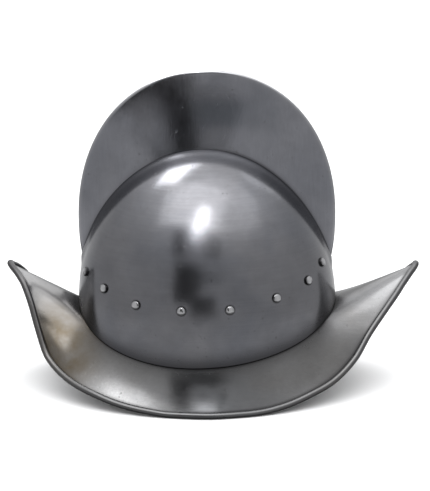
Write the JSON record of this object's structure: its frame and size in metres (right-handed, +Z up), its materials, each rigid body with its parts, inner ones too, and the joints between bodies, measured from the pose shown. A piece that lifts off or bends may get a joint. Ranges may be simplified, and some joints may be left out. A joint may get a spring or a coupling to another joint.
{
  "type": "comb morion helmet",
  "caption": "Comb morion helmet: a riveted steel bowl with a tall curved comb and a boat-shaped brim that has a rolled edge and a point at each end.",
  "frame": {"origin": "under the middle of the helmet, on the surface that it rests on", "axes": "+X towards the helmet's front, +Y towards its left side, +Z up to the comb"},
  "size_m": [0.372, 0.231, 0.2891],
  "materials": {
    "skull_steel": "polished, worn and slightly stained",
    "comb_steel": "polished, worn and slightly stained",
    "brim_steel": "polished, worn, brownish in places",
    "rivet_steel": "polished heads"
  },
  "bodies": {
    "root": {"skull": "skull_steel", "comb": "comb_steel", "brim": "brim_steel", "rivet_01": "rivet_steel", "rivet_02": "rivet_steel", "rivet_03": "rivet_steel", "rivet_04": "rivet_steel", "rivet_05": "rivet_steel", "rivet_06": "rivet_steel", "rivet_07": "rivet_steel", "rivet_08": "rivet_steel", "rivet_09": "rivet_steel", "rivet_10": "rivet_steel", "rivet_11": "rivet_steel", "rivet_12": "rivet_steel", "rivet_13": "rivet_steel", "rivet_14": "rivet_steel", "rivet_15": "rivet_steel", "rivet_16": "rivet_steel"}
  },
  "joints": []
}
